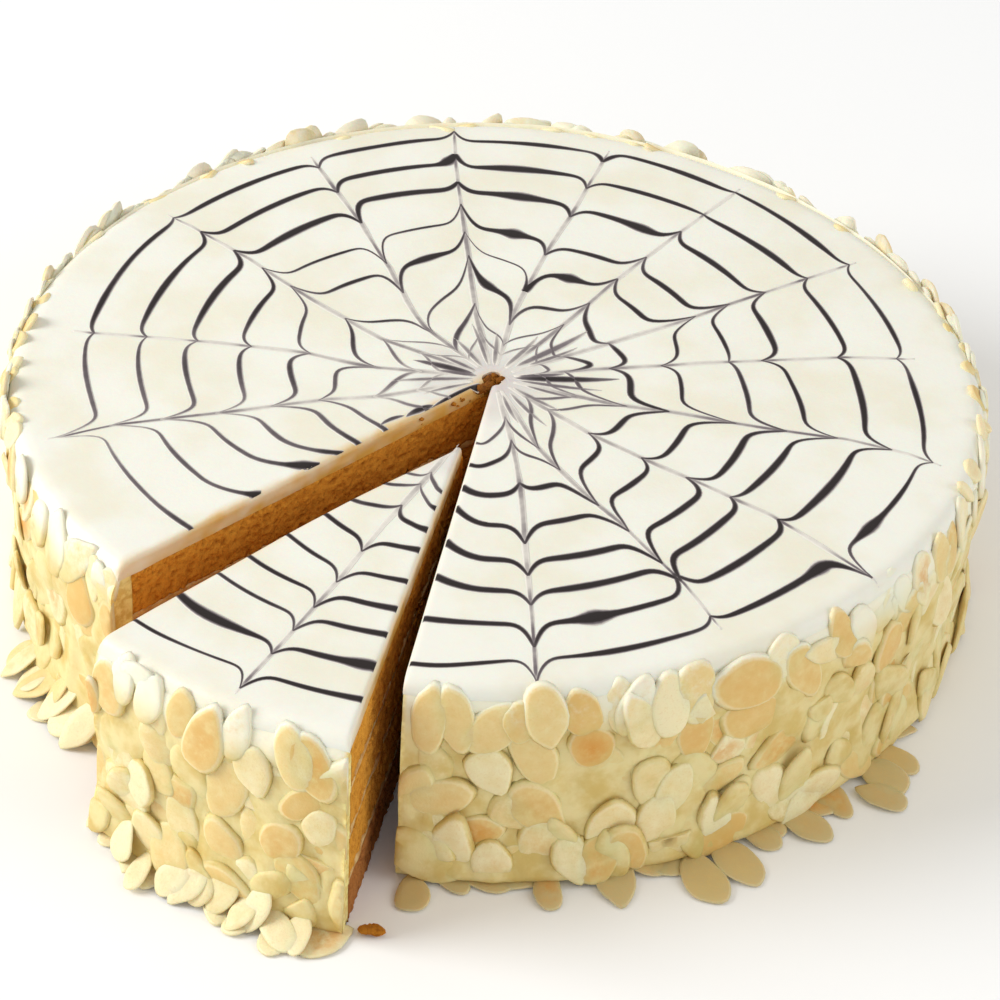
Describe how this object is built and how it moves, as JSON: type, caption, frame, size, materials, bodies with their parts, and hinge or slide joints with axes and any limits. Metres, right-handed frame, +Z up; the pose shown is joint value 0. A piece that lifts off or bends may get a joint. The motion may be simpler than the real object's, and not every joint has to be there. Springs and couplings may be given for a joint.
{
  "type": "layered almond torte",
  "caption": "Round layered almond torte with white icing, a feathered chocolate web and flaked almond sides, one slice drawn out.",
  "frame": {"origin": "middle of the bottom of the bounding box, on the surface that the torte stands on", "axes": "+Z up, -Y towards the drawn-out slice and the picture's viewpoint, +X to the viewer's right"},
  "size_m": [0.2688, 0.2844, 0.0639],
  "materials": {
    "icing": "satin white sugar icing",
    "almond": "pale flaked almonds on cream",
    "sponge": "golden brown crumb",
    "base_sponge": "dark red-brown crumb",
    "filling": "satin pale cream"
  },
  "bodies": {
    "root": {"torte_sponge_1": "base_sponge", "torte_sponge_2": "sponge", "torte_sponge_3": "sponge", "torte_sponge_4": "sponge", "torte_filling_1": "filling", "torte_filling_2": "filling", "torte_filling_3": "filling", "torte_icing": "icing", "torte_almond_coat": "almond", "slice_sponge_1": "base_sponge", "slice_sponge_2": "sponge", "slice_sponge_3": "sponge", "slice_sponge_4": "sponge", "slice_filling_1": "filling", "slice_filling_2": "filling", "slice_filling_3": "filling", "slice_icing": "icing", "slice_almond_coat": "almond"}
  },
  "joints": []
}
